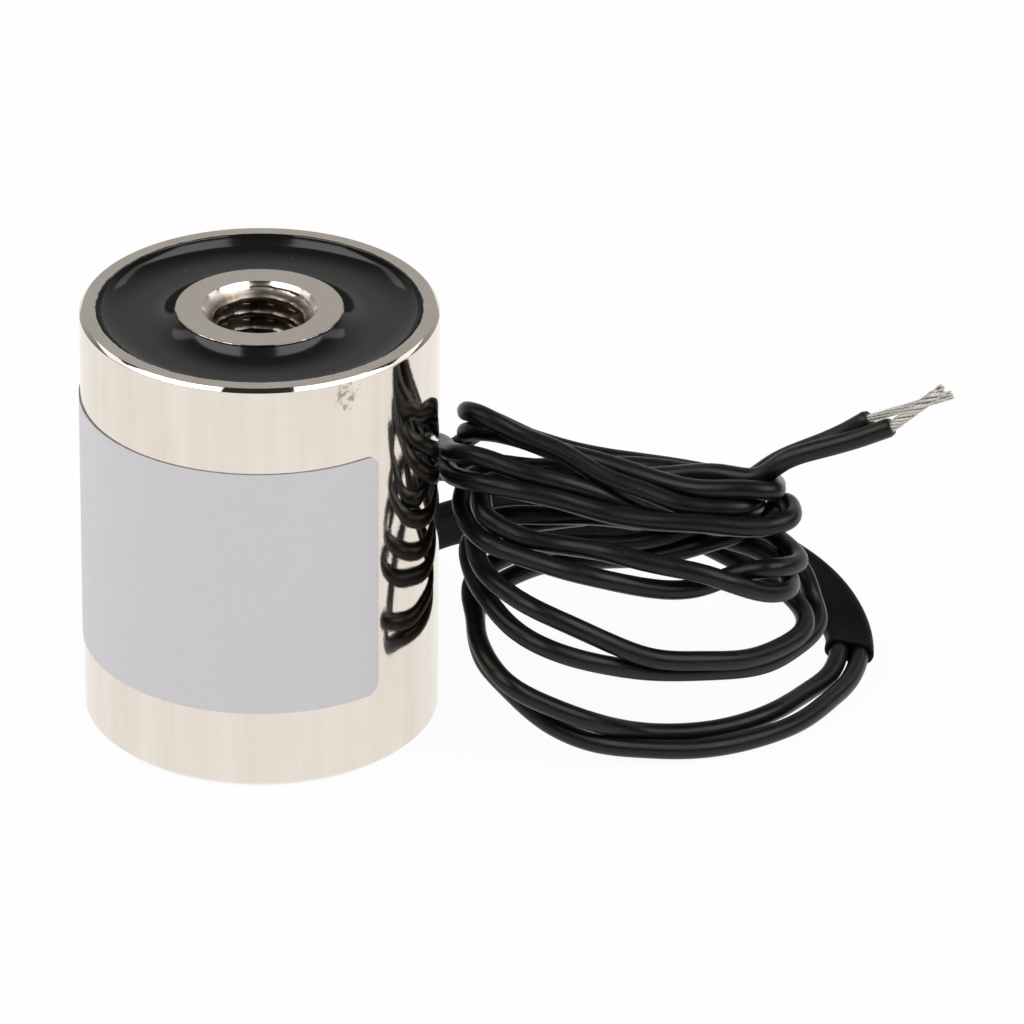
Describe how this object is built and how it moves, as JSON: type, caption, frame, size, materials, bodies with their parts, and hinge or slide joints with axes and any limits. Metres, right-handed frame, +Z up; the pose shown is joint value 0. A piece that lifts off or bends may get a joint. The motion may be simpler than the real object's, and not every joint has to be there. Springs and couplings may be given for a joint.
{
  "type": "holding electromagnet",
  "caption": "Cylindrical holding electromagnet: plated steel pot, tapped centre pole, dished black potting, side label and paired black flying leads in a short sleeve.",
  "frame": {"origin": "centre of the foot of the pot", "axes": "+Z up along the pole's axis to the pole face, +X towards the loops of the leads, -Y towards the label's front"},
  "size_m": [0.0487, 0.0253, 0.025],
  "materials": {
    "plated_steel": "bright nickel plate",
    "ground_steel": "ground face",
    "nylon": "moulded",
    "copper_wire": "enamelled",
    "film_tape": "gloss",
    "resin": "cast, glossy",
    "label_film": "satin film",
    "solder": "satin",
    "shrink_sleeve": "matte",
    "pvc": "satin",
    "tinned_copper": "tinned"
  },
  "bodies": {
    "root": {"shell": "plated_steel", "core": "ground_steel", "bobbin": "nylon", "winding": "copper_wire", "tape": "film_tape", "potting": "resin", "label": "label_film", "joint_1": "solder", "joint_2": "solder", "sleeve": "shrink_sleeve", "lead_1": "pvc", "lead_2": "pvc", "strands_1": "tinned_copper", "strands_2": "tinned_copper"}
  },
  "joints": []
}
